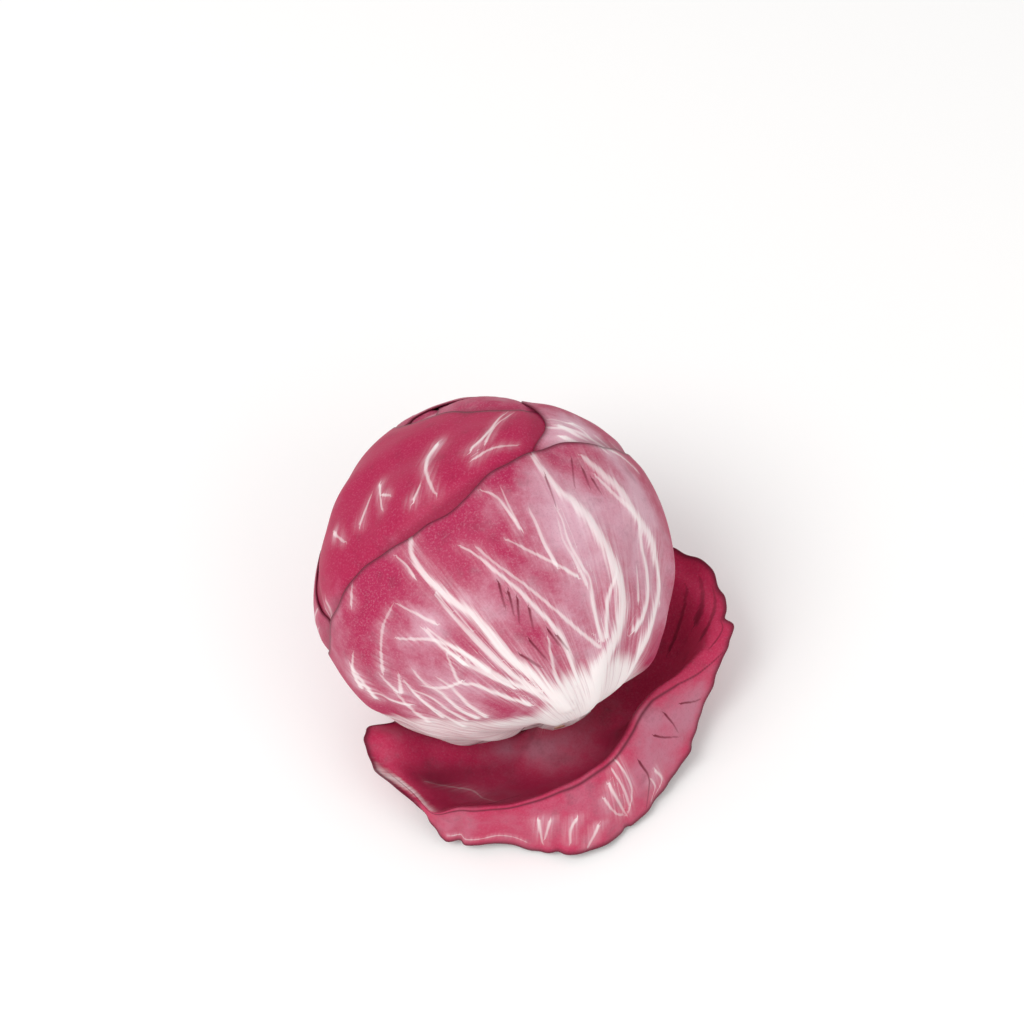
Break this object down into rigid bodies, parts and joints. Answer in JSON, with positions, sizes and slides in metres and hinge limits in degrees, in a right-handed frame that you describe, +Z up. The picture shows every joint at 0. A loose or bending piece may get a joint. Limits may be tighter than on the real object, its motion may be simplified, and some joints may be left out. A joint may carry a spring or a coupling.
{
  "type": "radicchio head",
  "caption": "Round head of red radicchio lying on its side, its overlapping wrapper leaves ribbed in white, with its outermost leaf opened out under the cut stem.",
  "frame": {"origin": "middle of the flat spot under the head, on the table", "axes": "+Z up; the cut stem points to +X and -Y, and down"},
  "size_m": [0.1344, 0.1338, 0.11],
  "materials": {
    "cut_stem": "pale, moist cut stem, matt",
    "inner_leaf": "satin crimson leaf with white ribs",
    "wrapper_leaf": "satin crimson leaf that pales to lilac and white along its ribs",
    "opened_leaf": "satin crimson leaf, darker inside its hollow"
  },
  "bodies": {
    "root": {"stem_butt": "cut_stem", "heart": "inner_leaf", "wrapper_leaf_1": "wrapper_leaf", "wrapper_leaf_2": "wrapper_leaf", "wrapper_leaf_3": "wrapper_leaf", "wrapper_leaf_4": "wrapper_leaf", "wrapper_leaf_5": "wrapper_leaf", "wrapper_leaf_6": "wrapper_leaf", "opened_leaf": "opened_leaf"}
  },
  "joints": []
}
